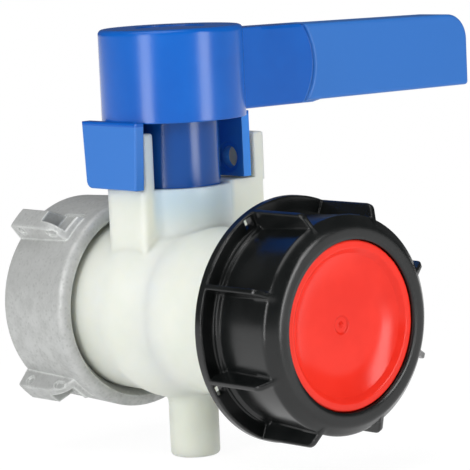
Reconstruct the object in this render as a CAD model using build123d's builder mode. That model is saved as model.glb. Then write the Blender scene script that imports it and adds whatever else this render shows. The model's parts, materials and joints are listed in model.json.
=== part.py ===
"""Outlet valve of an intermediate bulk container: a quarter-turn ball valve.

The flow runs along X, from the union nut at the tank (x = 0) to the screw cap.
The stem stands along +Z, and the lever points along +Y when the valve is closed.
All lengths are in millimetres.
"""

import os
from math import cos, hypot, radians, sin, sqrt

from build123d import *

os.makedirs("parts", exist_ok=True)

# Where the axes cross
stem_x = 51.5              # tank face of the nut to the stem axis
outlet_length = 70.4       # stem axis to the mouth of the outlet neck

# Running fits and gaps
running_gap = 0.05         # radial gap of a turning or sealing fit
face_gap = 0.3             # gap between faces that pass each other
cut_over = 1.0             # how far a cutter runs past the face it cuts

# Ball and seats
ball_radius = 25.5
ball_bore_wall = 7.5       # ball radius less the radius of its bore
ball_slot_width = 9.0
ball_slot_depth = 5.1      # floor of the drive slot below the top of the ball
seat_thickness = 5.4
seat_overhang = 0.7        # how far the seat's back stands behind the edge of the ball's bore
seat_lip = 0.6             # radial step from the ball's bore to the seat's bore
seat_rim = 0.9             # ball radius less the seat's outer radius
seat_gap = 0.15            # gap between ball and seat
ring_section = 2.0         # section of the static O-rings

# Body moulding
cavity_gap = 0.5
housing_wall = 4.0
inlet_wall = 2.6
neck_step = 1.0            # outlet neck, to the root of its thread, outside the ball chamber
neck_thread_depth = 3.0
neck_wall = 3.5
outlet_shoulder = 3.2      # wall behind the outlet seat
outlet_flare = 12.0        # length of the cone from the seat's bore to the neck's bore
inlet_blend = 30.0         # radius that leads from the inlet neck into the housing
outlet_blend = 22.0
tower_wall = 2.8
tower_rise = 5.8           # top of the tower above the lower end of the handle's neck
web_back = 10.3            # webs and posts, from the stem axis towards the tank
web_front = 8.0            # the same, towards the outlet
web_blend = 3.0            # inside rounding between tower and webs
web_edge = 1.2             # outside rounding of the webs' upright edges
inner_post_gap = 0.7       # between the post on the -Y side and the wing outside it
inner_post_thickness = 4.8
inner_post_rise = 18.2     # post's top above the tower's
outer_post_gap = 1.3       # between the wing on the +Y side and the post outside it
outer_post_thickness = 4.2
outer_post_rise = 14.8
gusset_drop = 9.0          # height of the outer web's end face
gusset_reach = 9.0         # how far the outer web leans out over its foot
gusset_height = 17.0
body_edge = 0.8            # rounding of the posts' top edges
peg_radius = 8.1
peg_offset = 3.0           # peg axis in front of the stem axis
peg_reach = 18.5           # underside of the peg below the housing
peg_length = 17.0          # straight part of the peg, with its rounded lower edge
peg_root = 6.0             # radius of the flare where the peg meets the housing
peg_root_turn = 55.0       # degrees of that flare's arc, up to inside the housing
peg_edge = 1.4

# Union nut with its female thread
nut_length = 32.0
nut_thread_length = 17.0
nut_wall = 4.0             # at the front, outside the thread
nut_draft = 1.2            # the back is narrower by this on the radius
nut_relief = 0.5           # thread run-out groove, deeper than the thread
nut_lip = 6.0              # thickness of the lip that pulls on the retaining ring
nut_bore_gap = 0.3
nut_bevel = 3.6
nut_rim = 0.8              # flat of the front rim outside the bevel
nut_edge = 3.0
nut_back_edge = 0.8
lug_height = 6.2           # above the back of the nut
lug_sunk = 0.8             # how deep a lug's foot sits in the nut's wall
lug_length = 26.5
lug_crown = 14.5           # length of a lug's level top
lug_edge = 0.8
lug_flank_foot_angle = 139.5   # steep side of the lug that is drawn, from +Y towards +Z
lug_flank_top_angle = 137.6
lug_ramp_top_angle = 128.0     # sloping side of the same lug
lug_ramp_foot_angle = 119.5
lug_plate_angle = 4.2      # the steep side goes on as a plate of this many degrees
lug_pocket_length = 9.5    # hollow behind that plate
flank_mark_radius = 1.6
flank_mark_x = 4.6
flank_slot_length = 4.6
flank_slot_width = 2.4
flank_slot_x = 20.0
flank_mark_rise = 4.6      # middle of both marks above the lug's foot
flank_mark_depth = 0.7

# Sealing ring and split ring at the inlet
gasket_thickness = 2.5
gasket_gap = 0.3
gasket_width = 7.7
split_ring_thickness = 2.4
split_ring_groove = 1.2    # groove depth in the inlet neck
split_ring_overlap = 1.7   # how far the ring stands into the nut's lip
split_ring_gap = 0.4       # between the ring and the nut's thread
split_ring_mouth = 6.0     # opening of the split

# Seat retainer, screwed into the inlet
retainer_wall = 4.0
retainer_ring_offset = 6.0
notch_count = 4
notch_width = 5.0
notch_depth = 2.4
notch_radial = 2.2

# Stem
collar_step = 3.8          # collar outside the shank
collar_thickness = 2.4
collar_lift = 0.8          # collar above the top of the ball
washer_thickness = 1.0
washer_gap = 0.05
shank_step = 2.8           # shank inside the handle's neck
shank_seal_length = 4.1    # bore that the shank's O-ring seals in
tongue_gap = 0.1
tongue_length = 22.0
drive_square = 15.0
drive_corner = 1.2
stem_ring_section = 2.2
screw_pilot_radius = 2.4
screw_pilot_depth = 22.0

# Handle: neck, hub, lever and the two hanging wings
neck_radius = 14.2
neck_clearance = 0.3
hub_overhang = 9.2         # hub outside its neck
hub_lift = 21.6            # underside of the hub above the tower
hub_height = 29.4
hub_wall = 3.0
hub_roof = 4.0
hub_edge = 1.6
hub_rib_count = 8
hub_rib_start_angle = 22.5
hub_rib_thickness = 2.0
recess_radius = 11.4
recess_depth = 10.5
socket_roof = 4.0          # between the drive socket and the hub's recess
lever_reach = 130.5        # stem axis to the tip
lever_root_drop = 1.6      # lever's top below the hub's, at the stem axis
lever_tip_drop = 3.7       # the same, at the tip
lever_root_lift = 1.8      # lever's underside above the hub's, at the stem axis
lever_tip_lift = 0.8
lever_root_radius = 4.0    # inside rounding between lever and hub
lever_width = 15.0
lever_recess = 1.0         # the smooth first length is set back by this on each side
lever_step = 0.8           # the first length hangs lower than the grip by this
grip_start = 52.0
grip_start_bulge = 4.5
lever_nose = 9.0           # rounding of the tip's top corner
lever_heel = 1.2
lever_wall = 2.6
lever_rib_pitch = 17.0
lever_pocket_corner = 1.5
lever_edge = 1.0           # rounding along the lever's sides
wing_gap = 0.6             # wings above the tower
wing_sunk = 1.4            # inside of the wings within the hub's radius
wing_thickness = 3.5
wing_top_overlap = 0.5
wing_edge = 0.5
left_wing_back = 16.2
left_wing_front = 10.6
right_wing_back = 6.0
right_wing_front = 8.0
wing_draft = 1.2           # narrowing of a wing towards its lower edge
wing_corner = 2.5
wing_web_thickness = 2.6
seal_hole_radius = 3.6
seal_hole_rise = 6.2       # middle of the hole above the wing's lower edge
seal_hole_forward = 0.8
seal_hole_lip_radius = 5.0
seal_hole_lip_depth = 0.6

# Screw, washer and plug in the hub
screw_washer_radius = 8.5
screw_washer_thickness = 1.5
screw_radius = 2.9
screw_clearance = 0.3
screw_length = 18.0
screw_head_radius = 6.0
screw_head_height = 3.6
screw_socket_width = 5.0
screw_socket_depth = 2.2
plug_thickness = 2.4
plug_skirt = 4.0
plug_wall = 1.4
plug_gap = 0.1
plug_sunk = 0.3

# Screw cap: ribbed ring, insert and gasket
cap_bore_gap = 0.3         # cap's bore outside the neck's thread
barrel_wall = 2.6
rib_height = 5.9           # ribs and flange stand this far out of the barrel
flange_thickness = 3.0
barrel_draft = 1.3         # barrel wider at the front by this on the radius
cap_foot_step = 1.0
cap_foot_band = 1.5        # length of the step beside the flange
cap_slope = 0.5            # axial length of that step's slope
cap_length = 29.3
cap_front_wall = 4.1
cap_bevel = 3.0            # axial length of the bevel at the front
cap_bevel_width = 3.4
cap_edge = 1.0             # rounding of both edges of the bevel
rib_count = 8
rib_start_angle = 22.5
rib_thickness = 1.8
rib_sunk = 1.9             # how deep a rib's foot sits in the barrel
rib_back = 4.8             # a rib's full height ends this far behind the cap's front
rib_nose = 3.0             # rounding of a rib's front corner
rib_edge = 0.4
flange_hole_count = 4
flange_hole_start_angle = 22.5
flange_hole_side = 3.2
flange_hole_beside = 1.2   # edge of the hole beside the rib's side
insert_shelf = 3.9         # how far the front wall stands in over the bore, with its gap
insert_gap = 0.3
insert_flange_gap = 0.7
insert_flange = 2.4
insert_sunk = 1.0          # insert's rim behind the front of the ring
insert_rim = 2.4
insert_edge = 0.6
insert_step = 1.6          # drop of the rim's inner side
insert_step_width = 1.7
bowl_depth = 4.0           # flat of the bowl behind the rim
bowl_flat_radius = 13.5
dimple_radius = 3.0
dimple_depth = 0.5
nub_radius = 1.1
nub_height = 0.7
cap_gasket_thickness = 2.0
cap_gasket_edge_gap = 0.9
cap_gasket_overlap = 2.0   # how far the gasket reaches in from the neck's bore
cap_gasket_gap = 0.1

# Sizes that follow
cavity_radius = ball_radius + cavity_gap
housing_radius = cavity_radius + housing_wall
inlet_radius = cavity_radius + inlet_wall
ball_bore_radius = ball_radius - ball_bore_wall
ball_slot_floor = ball_radius - ball_slot_depth
neck_root_radius = cavity_radius + neck_step
neck_bore_radius = neck_root_radius - neck_wall
seat_back = sqrt(ball_radius**2 - ball_bore_radius**2) + seat_overhang
seat_front = seat_back - seat_thickness
seat_bore_radius = ball_bore_radius + seat_lip
seat_radius = ball_radius - seat_rim
seat_sphere_radius = ball_radius + seat_gap
nut_mouth_radius = inlet_radius + nut_bore_gap
split_ring_radius = nut_mouth_radius + split_ring_overlap
nut_thread_radius = split_ring_radius + split_ring_gap
gasket_radius = nut_thread_radius - 2 * gasket_gap
gasket_bore_radius = gasket_radius - gasket_width
cap_bore_radius = neck_root_radius + neck_thread_depth + cap_bore_gap
barrel_radius = cap_bore_radius + barrel_wall
flange_radius = barrel_radius + rib_height
cap_foot_radius = barrel_radius + cap_foot_step
insert_radius = cap_bore_radius - insert_shelf
insert_flange_radius = cap_bore_radius - insert_flange_gap
cap_gasket_radius = cap_bore_radius - cap_gasket_edge_gap
cap_gasket_bore_radius = neck_bore_radius - cap_gasket_overlap
inlet_end = nut_thread_length + gasket_gap + gasket_thickness
lip_back = nut_length - nut_lip
nut_radius = nut_thread_radius + nut_wall
nut_back_radius = nut_radius - nut_draft
ring_middle = lip_back - face_gap - split_ring_thickness / 2
shank_radius = neck_radius - shank_step
collar_radius = shank_radius + collar_step
collar_bottom = ball_radius + collar_lift
collar_top = collar_bottom + collar_thickness
tower_shoulder = collar_top + washer_thickness + 2 * washer_gap
seal_bore_top = tower_shoulder + shank_seal_length
neck_bottom = seal_bore_top + face_gap
neck_bore_fit = neck_radius + neck_clearance
tower_radius = neck_bore_fit + tower_wall
ledge_height = neck_bottom + tower_rise
hub_radius = neck_radius + hub_overhang
hub_bottom = ledge_height + hub_lift
hub_top = hub_bottom + hub_height
recess_floor = hub_top - recess_depth
socket_top = recess_floor - socket_roof
stem_top = socket_top - face_gap
wing_bottom = ledge_height + wing_gap
wing_inner_face = hub_radius - wing_sunk
outer_wing_face = wing_inner_face + wing_thickness
inner_web_reach = wing_inner_face - inner_post_gap
outer_web_reach = outer_wing_face + outer_post_gap + outer_post_thickness
seal_hole_height = wing_bottom + seal_hole_rise
peg_bottom = housing_radius + peg_reach
cap_front = (
    outlet_length + cap_gasket_gap + cap_gasket_thickness + insert_flange + insert_gap + cap_front_wall
)
cap_back = cap_front - cap_length

stem_axis = Axis((stem_x, 0, 0), (0, 0, 1))


def turned(outline, axis, mode=Mode.ADD, rounded=()):
    """A solid of revolution from points in the XZ plane; rounded lists (corner, radius)."""
    with BuildSketch(Plane.XZ) as half:
        with BuildLine():
            Polyline(outline, close=True)
        make_face()
        for corner, radius in rounded:
            fillet(half.vertices().sort_by_distance(corner)[0], radius)
    revolve(half.sketch, axis=axis, mode=mode)


def about_flow(outline, mode=Mode.ADD, rounded=()):
    """Turned about the flow axis: points are (distance from the tank face, radius)."""
    turned(outline, Axis.X, mode, rounded)


def about_stem(outline, mode=Mode.ADD, rounded=()):
    """Turned about the stem axis: points are (radius, height above the flow axis)."""
    moved_corners = [((stem_x + corner[0], corner[1]), radius) for corner, radius in rounded]
    turned([(stem_x + radius, height) for radius, height in outline], stem_axis, mode, moved_corners)


def flow_ring(start, end, inner, outer, mode=Mode.ADD):
    """A plain ring about the flow axis."""
    about_flow([(start, inner), (end, inner), (end, outer), (start, outer)], mode)


def stem_ring(bottom, top, inner, outer, mode=Mode.ADD):
    """A plain ring about the stem axis."""
    about_stem([(inner, bottom), (outer, bottom), (outer, top), (inner, top)], mode)


def around_flow(radius, angle):
    """Point of the YZ plane at a radius and an angle from +Y, counter-clockwise seen from the cap."""
    return radius * cos(radians(angle)), radius * sin(radians(angle))


def blend_to_housing(neck, blend):
    """Ends of an arc that leads from a neck into the housing's sphere, on the neck and on the sphere.

    Both are (distance from the stem axis along the neck, radius of the neck there).
    """
    centre = sqrt((housing_radius + blend) ** 2 - (neck + blend) ** 2)
    share = housing_radius / (housing_radius + blend)
    return (centre, neck), (centre * share, (neck + blend) * share)


def finish_piece(piece, label):
    """Name a finished piece and write its file."""
    piece.part.label = label
    export_step(piece.part, f"parts/{label}.step")


# Body: ball housing, inlet neck, outlet neck, stem tower, two posts and a peg
outlet_end = stem_x + outlet_length
seat_pocket_end = stem_x + seat_back
web_x = stem_x + (web_front - web_back) / 2
inlet_on_neck, inlet_on_sphere = blend_to_housing(inlet_radius, inlet_blend)
outlet_on_neck, outlet_on_sphere = blend_to_housing(neck_root_radius, outlet_blend)
with BuildPart() as tower:
    # Stem tower in one with the web inside the left wing and the web below the right one
    with BuildSketch(Plane.XY) as column:
        with Locations((stem_x, 0)):
            Circle(tower_radius)
        with Locations((web_x, (outer_web_reach - inner_web_reach) / 2)):
            Rectangle(web_back + web_front, outer_web_reach + inner_web_reach)
        by_distance = column.vertices().sort_by_distance((stem_x, 0))
        fillet(by_distance[:-4], web_blend)
        by_distance = column.vertices().sort_by_distance((stem_x, 0))
        fillet(by_distance[-4:], web_edge)
    extrude(amount=ledge_height)
    # The outer web leans out over its foot
    gusset_top = ledge_height - gusset_drop
    with BuildSketch(Plane.YZ.offset(stem_x)) as gusset_cut:
        with BuildLine():
            Polyline(
                (outer_web_reach + cut_over, gusset_top),
                (outer_web_reach, gusset_top),
                (outer_web_reach - gusset_reach, gusset_top - gusset_height),
                (outer_web_reach - gusset_reach, 0),
                (outer_web_reach + cut_over, 0),
                close=True,
            )
        make_face()
    extrude(amount=tower_radius, both=True, mode=Mode.SUBTRACT)
    # A post on each web
    post_gap_radius = wing_inner_face - face_gap * 2
    with BuildSketch(Plane.XY.offset(ledge_height - cut_over)) as left_post:
        with Locations((web_x, -inner_web_reach + inner_post_thickness / 2)):
            Rectangle(web_back + web_front, inner_post_thickness)
        with Locations((stem_x, 0)):
            Circle(post_gap_radius, mode=Mode.INTERSECT)
    extrude(amount=inner_post_rise + cut_over)
    with BuildSketch(Plane.XY.offset(ledge_height - cut_over)) as right_post:
        with Locations((web_x, outer_web_reach - outer_post_thickness / 2)):
            Rectangle(web_back + web_front, outer_post_thickness)
    extrude(amount=outer_post_rise + cut_over)
    posts_by_height = tower.faces().filter_by(Axis.Z).sort_by(Axis.Z)
    fillet(posts_by_height[-1].edges(), body_edge)
    posts_by_height = tower.faces().filter_by(Axis.Z).sort_by(Axis.Z)
    fillet(posts_by_height[-2].edges(), body_edge)

with BuildPart() as body_shell:
    # Housing and both necks, with soft arcs between them
    with BuildSketch(Plane.XY) as housing:
        with BuildLine():
            inlet_end_of_arc = (stem_x - inlet_on_sphere[0], inlet_on_sphere[1])
            outlet_end_of_arc = (stem_x + outlet_on_sphere[0], outlet_on_sphere[1])
            Polyline((stem_x - inlet_on_neck[0], inlet_radius), (inlet_end, inlet_radius), (inlet_end, 0))
            TangentArc((stem_x - inlet_on_neck[0], inlet_radius), inlet_end_of_arc, tangent=(1, 0))
            TangentArc(inlet_end_of_arc, outlet_end_of_arc, tangent=(inlet_on_sphere[1], inlet_on_sphere[0]))
            TangentArc(
                (stem_x + outlet_on_neck[0], neck_root_radius), outlet_end_of_arc, tangent=(-1, 0)
            )
            Polyline(
                (stem_x + outlet_on_neck[0], neck_root_radius),
                (outlet_end, neck_root_radius),
                (outlet_end, 0),
                (inlet_end, 0),
            )
        make_face()
    revolve(housing.sketch, axis=Axis.X)
    # Peg under the housing, turned about its own axis with a flared root
    peg_x = stem_x + peg_offset
    peg_top = peg_length - peg_bottom
    turn = radians(peg_root_turn)
    flare_end = (peg_x + peg_radius + peg_root * (1 - cos(turn)), peg_top + peg_root * sin(turn))
    flare_middle = (
        peg_x + peg_radius + peg_root * (1 - cos(turn / 2)),
        peg_top + peg_root * sin(turn / 2),
    )
    with BuildSketch(Plane.XZ) as peg:
        with BuildLine():
            Polyline(
                (peg_x, flare_end[1]),
                (peg_x, -peg_bottom),
                (peg_x + peg_radius, -peg_bottom),
                (peg_x + peg_radius, peg_top),
            )
            ThreePointArc((peg_x + peg_radius, peg_top), flare_middle, flare_end)
            Line(flare_end, (peg_x, flare_end[1]))
        make_face()
        fillet(peg.vertices().group_by(Axis.Y)[0].sort_by(Axis.X)[-1], peg_edge)
    revolve(peg.sketch, axis=Axis((peg_x, 0, 0), (0, 0, 1)))
    add(tower.part)
    # Waterway: inlet bore and ball chamber, seat pocket, cone and outlet bore
    flow_ring(inlet_end - cut_over, stem_x + seat_front, 0, cavity_radius, Mode.SUBTRACT)
    flow_ring(stem_x, seat_pocket_end, 0, seat_radius + running_gap, Mode.SUBTRACT)
    cone_start = seat_pocket_end + outlet_shoulder
    about_flow(
        [
            (stem_x, 0),
            (stem_x, seat_bore_radius),
            (cone_start, seat_bore_radius),
            (cone_start + outlet_flare, neck_bore_radius),
            (outlet_end + cut_over, neck_bore_radius),
            (outlet_end + cut_over, 0),
        ],
        Mode.SUBTRACT,
    )
    # Groove for the split ring
    flow_ring(
        ring_middle - split_ring_thickness / 2 - running_gap,
        ring_middle + split_ring_thickness / 2 + running_gap,
        inlet_radius - split_ring_groove,
        inlet_radius + cut_over,
        Mode.SUBTRACT,
    )
    # Stem passage: collar pocket, sealing bore and the wide bore of the handle's neck
    stem_ring(0, tower_shoulder, 0, collar_radius + 2 * running_gap, Mode.SUBTRACT)
    stem_ring(0, seal_bore_top, 0, shank_radius + 2 * running_gap, Mode.SUBTRACT)
    stem_ring(seal_bore_top, ledge_height + cut_over, 0, neck_bore_fit, Mode.SUBTRACT)
finish_piece(body_shell, "body_shell")

# Ball, drawn with its bore across the flow
with BuildPart() as ball:
    with Locations((stem_x, 0, 0)):
        Sphere(ball_radius)
    with BuildSketch(Plane.XZ) as ball_bore:
        with Locations((stem_x, 0)):
            Circle(ball_bore_radius)
    extrude(amount=ball_radius, both=True, mode=Mode.SUBTRACT)
    with BuildSketch(Plane.XY.offset(ball_slot_floor)) as ball_slot:
        with Locations((stem_x, 0)):
            Rectangle(2 * ball_radius, ball_slot_width)
    extrude(amount=ball_radius, mode=Mode.SUBTRACT)
finish_piece(ball, "ball")


def seat_about_ball(side):
    """A seat ring with a spherical face and an O-ring groove in its back; side is -1 or 1."""
    front_radius = sqrt(seat_sphere_radius**2 - seat_front**2)
    back_edge = sqrt(seat_sphere_radius**2 - seat_bore_radius**2)
    middle_radius = (front_radius + seat_bore_radius) / 2
    middle_reach = sqrt(seat_sphere_radius**2 - middle_radius**2)
    with BuildSketch(Plane.XZ) as half:
        with BuildLine():
            ThreePointArc(
                (stem_x + side * seat_front, front_radius),
                (stem_x + side * middle_reach, middle_radius),
                (stem_x + side * back_edge, seat_bore_radius),
            )
            Polyline(
                (stem_x + side * back_edge, seat_bore_radius),
                (stem_x + side * seat_back, seat_bore_radius),
                (stem_x + side * seat_back, seat_radius),
                (stem_x + side * seat_front, seat_radius),
                (stem_x + side * seat_front, front_radius),
            )
        make_face()
    revolve(half.sketch, axis=Axis.X)
    groove_start = stem_x + side * (seat_back - ring_section)
    groove_end = stem_x + side * (seat_back + cut_over)
    flow_ring(
        groove_start,
        groove_end,
        seat_ring_radius - ring_section / 2 - running_gap,
        seat_ring_radius + ring_section / 2 + running_gap,
        Mode.SUBTRACT,
    )


seat_ring_radius = (seat_bore_radius + seat_radius) / 2
with BuildPart() as inlet_seat:
    seat_about_ball(-1)
finish_piece(inlet_seat, "inlet_seat")

with BuildPart() as outlet_seat:
    seat_about_ball(1)
finish_piece(outlet_seat, "outlet_seat")

with BuildPart(Plane.YZ.offset(stem_x - seat_back + ring_section / 2)) as inlet_seat_oring:
    Torus(seat_ring_radius, ring_section / 2)
finish_piece(inlet_seat_oring, "inlet_seat_oring")

with BuildPart(Plane.YZ.offset(stem_x + seat_back - ring_section / 2)) as outlet_seat_oring:
    Torus(seat_ring_radius, ring_section / 2)
finish_piece(outlet_seat_oring, "outlet_seat_oring")

# Seat retainer: a sleeve with a skirt around the inlet seat and notches for a pin spanner
retainer_radius = cavity_radius - running_gap
retainer_mouth_radius = cavity_radius - retainer_wall
retainer_end = stem_x - seat_back
retainer_ring_x = inlet_end + retainer_ring_offset
with BuildPart() as seat_retainer:
    about_flow(
        [
            (inlet_end, retainer_mouth_radius),
            (inlet_end, retainer_radius),
            (stem_x - seat_front, retainer_radius),
            (stem_x - seat_front, seat_radius + running_gap),
            (retainer_end, seat_radius + running_gap),
            (retainer_end, seat_bore_radius),
        ]
    )
    flow_ring(
        retainer_ring_x - ring_section / 2 - running_gap,
        retainer_ring_x + ring_section / 2 + running_gap,
        retainer_radius - ring_section,
        retainer_radius + cut_over,
        Mode.SUBTRACT,
    )
    with BuildSketch(Plane.YZ.offset(inlet_end)) as notches:
        with PolarLocations(retainer_mouth_radius + notch_radial / 2, notch_count):
            Rectangle(notch_radial + cut_over, notch_width)
    extrude(amount=notch_depth, mode=Mode.SUBTRACT)
finish_piece(seat_retainer, "seat_retainer")

with BuildPart(Plane.YZ.offset(retainer_ring_x)) as retainer_oring:
    Torus(retainer_radius + running_gap - ring_section / 2, ring_section / 2 - running_gap / 2)
finish_piece(retainer_oring, "retainer_oring")

# Flat gasket against the tank's neck, and the split ring that holds the nut
with BuildPart() as inlet_gasket:
    flow_ring(inlet_end - gasket_thickness, inlet_end, gasket_bore_radius, gasket_radius)
finish_piece(inlet_gasket, "inlet_gasket")

with BuildPart() as nut_retaining_ring:
    flow_ring(
        ring_middle - split_ring_thickness / 2,
        ring_middle + split_ring_thickness / 2,
        inlet_radius - split_ring_groove + running_gap,
        split_ring_radius,
    )
    with BuildSketch(Plane.XY) as split_mouth:
        with Locations((ring_middle, -split_ring_radius)):
            Rectangle(2 * split_ring_thickness, 2 * (split_ring_groove + split_ring_overlap + cut_over))
    extrude(amount=split_ring_mouth / 2, both=True, mode=Mode.SUBTRACT)
finish_piece(nut_retaining_ring, "nut_retaining_ring")

# Union nut: one lug is drawn between the top and the -Y side and mirrored to the other three corners
lug_radius = nut_back_radius + lug_height
lug_foot = nut_back_radius - lug_sunk
flank_foot = around_flow(lug_foot, lug_flank_foot_angle)
flank_top = around_flow(lug_radius + cut_over, lug_flank_top_angle)
with BuildPart() as lugs:
    with BuildSketch(Plane.YZ) as lug_section:
        with BuildLine():
            Polyline(
                flank_foot,
                flank_top,
                around_flow(lug_radius + cut_over, lug_ramp_top_angle),
                around_flow(lug_foot, lug_ramp_foot_angle),
                close=True,
            )
        make_face()
    extrude(amount=lug_length)
    # Level crown, then an arc down to the nut's surface
    with BuildSketch(Plane.XZ) as lug_side:
        with BuildLine():
            Polyline((lug_crown, lug_radius), (0, lug_radius), (0, 0), (lug_length, 0))
            Line((lug_length, 0), (lug_length, nut_back_radius))
            TangentArc((lug_crown, lug_radius), (lug_length, nut_back_radius), tangent=(1, 0))
        make_face()
    revolve(lug_side.sketch, axis=Axis.X, mode=Mode.INTERSECT)
    crown_edges = [
        edge
        for edge in lugs.edges()
        if hypot(edge.center().Y, edge.center().Z) > nut_back_radius + lug_height / 2
    ]
    fillet(crown_edges, lug_edge)
    # Two shallow marks in the steep flank
    flank = Plane(
        origin=(0, flank_foot[0], flank_foot[1]),
        x_dir=(1, 0, 0),
        z_dir=(0, flank_foot[1] - flank_top[1], flank_top[0] - flank_foot[0]),
    )
    with BuildSketch(flank) as flank_marks:
        with Locations((flank_mark_x, flank_mark_rise)):
            Circle(flank_mark_radius)
        with Locations((flank_slot_x, flank_mark_rise)):
            SlotOverall(flank_slot_length, flank_slot_width)
    extrude(amount=-flank_mark_depth, mode=Mode.SUBTRACT)
    mirror(about=Plane.XY)
    mirror(about=Plane.XZ)

# Hollow behind the plate that carries on a lug's steep side
with BuildPart() as lug_pockets:
    with BuildSketch(Plane.YZ.offset(lug_crown)) as lug_pocket:
        with BuildLine():
            Polyline(
                around_flow(nut_back_radius, lug_flank_foot_angle - lug_plate_angle),
                around_flow(lug_radius + cut_over, lug_flank_top_angle - lug_plate_angle),
                around_flow(lug_radius + cut_over, lug_ramp_foot_angle),
                around_flow(nut_back_radius, lug_ramp_foot_angle),
                close=True,
            )
        make_face()
    extrude(amount=lug_pocket_length)
    mirror(about=Plane.XY)
    mirror(about=Plane.XZ)

with BuildPart() as union_nut:
    about_flow(
        [
            (0, nut_thread_radius),
            (0, nut_back_radius),
            (nut_length, nut_radius),
            (nut_length, nut_radius - nut_rim - nut_edge),
            (nut_length - nut_bevel, nut_mouth_radius),
            (lip_back, nut_mouth_radius),
            (lip_back, nut_thread_radius + nut_relief),
            (nut_thread_length, nut_thread_radius + nut_relief),
            (nut_thread_length, nut_thread_radius),
        ],
        rounded=[((0, nut_back_radius), nut_back_edge), ((nut_length, nut_radius), nut_edge)],
    )
    add(lugs.part)
    add(lug_pockets.part, mode=Mode.SUBTRACT)
finish_piece(union_nut, "union_nut")

# Stem: collar, shank with an O-ring groove, square drive and a tongue for the ball's slot
with BuildPart() as stem:
    stem_ring(collar_bottom, collar_top, 0, collar_radius)
    stem_ring(collar_top, neck_bottom, 0, shank_radius)
    with BuildSketch(Plane.XY.offset(neck_bottom)) as drive:
        with Locations((stem_x, 0)):
            RectangleRounded(drive_square, drive_square, drive_corner)
    extrude(amount=stem_top - neck_bottom)
    with BuildSketch(Plane.XY.offset(ball_slot_floor + collar_lift)) as tongue:
        with Locations((stem_x, 0)):
            Rectangle(tongue_length, ball_slot_width - 2 * tongue_gap)
    extrude(amount=collar_bottom - ball_slot_floor)
    ring_height = (tower_shoulder + seal_bore_top) / 2
    stem_ring_centre = shank_radius + running_gap - stem_ring_section / 2
    stem_ring(
        ring_height - stem_ring_section / 2 - running_gap,
        ring_height + stem_ring_section / 2 + running_gap,
        shank_radius - stem_ring_section,
        shank_radius + cut_over,
        Mode.SUBTRACT,
    )
    with BuildSketch(Plane.XY.offset(stem_top)) as pilot:
        with Locations((stem_x, 0)):
            Circle(screw_pilot_radius)
    extrude(amount=-screw_pilot_depth, mode=Mode.SUBTRACT)
finish_piece(stem, "stem")

with BuildPart() as stem_oring:
    with Locations((stem_x, 0, ring_height)):
        Torus(stem_ring_centre, stem_ring_section / 2)
finish_piece(stem_oring, "stem_oring")

with BuildPart() as stem_thrust_washer:
    stem_ring(collar_top + washer_gap, collar_top + washer_gap + washer_thickness,
              shank_radius + 2 * running_gap, collar_radius)
finish_piece(stem_thrust_washer, "stem_thrust_washer")

# Handle: neck and hub turned in one, then ribs, lever, wings and the drive socket
neck_ring_height = (neck_bottom + ledge_height) / 2
neck_ring_centre = neck_bore_fit - running_gap - stem_ring_section / 2


def lever_outline(start, bottom_drop):
    """Heights of the lever's top and underside at a distance out from the stem."""
    share = start / lever_reach
    top = hub_top - lever_root_drop - (lever_tip_drop - lever_root_drop) * share
    bottom = hub_bottom + lever_root_lift + (lever_tip_lift - lever_root_lift) * share - bottom_drop
    return top, bottom


# Lever: a smooth first length, then the grip that stands a little proud
with BuildPart() as lever:
    lever_start = hub_radius - hub_wall / 2
    start_top, start_bottom = lever_outline(lever_start, lever_step)
    grip_top, grip_bottom = lever_outline(grip_start, 0)
    tip_top, tip_bottom = lever_outline(lever_reach, 0)
    middle_z = (grip_top + grip_bottom) / 2
    with BuildSketch(Plane.YZ.offset(stem_x)) as first_length:
        with BuildLine():
            Polyline(
                (lever_start, start_bottom),
                (lever_start, start_top),
                (grip_start + 2 * grip_start_bulge, grip_top),
                (grip_start + 2 * grip_start_bulge, grip_bottom),
                (grip_start + grip_start_bulge, grip_bottom - lever_step),
                close=True,
            )
        make_face()
    extrude(amount=lever_width / 2 - lever_recess, both=True)
    fillet(lever.edges().group_by(Axis.X)[0] + lever.edges().group_by(Axis.X)[-1], lever_edge)
with BuildPart() as lever_grip:
    with BuildSketch(Plane.YZ.offset(stem_x)) as grip:
        with BuildLine():
            ThreePointArc(
                (grip_start, grip_top),
                (grip_start + grip_start_bulge, middle_z),
                (grip_start, grip_bottom),
            )
            Polyline(
                (grip_start, grip_bottom),
                (lever_reach, tip_bottom),
                (lever_reach, tip_top),
                (grip_start, grip_top),
            )
        make_face()
        fillet(grip.vertices().group_by(Axis.X)[-1].sort_by(Axis.Y)[-1], lever_nose)
        fillet(grip.vertices().group_by(Axis.X)[-1].sort_by(Axis.Y)[0], lever_heel)
    extrude(amount=lever_width / 2, both=True)
    fillet(lever_grip.edges().group_by(Axis.X)[0] + lever_grip.edges().group_by(Axis.X)[-1], lever_edge)

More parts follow.
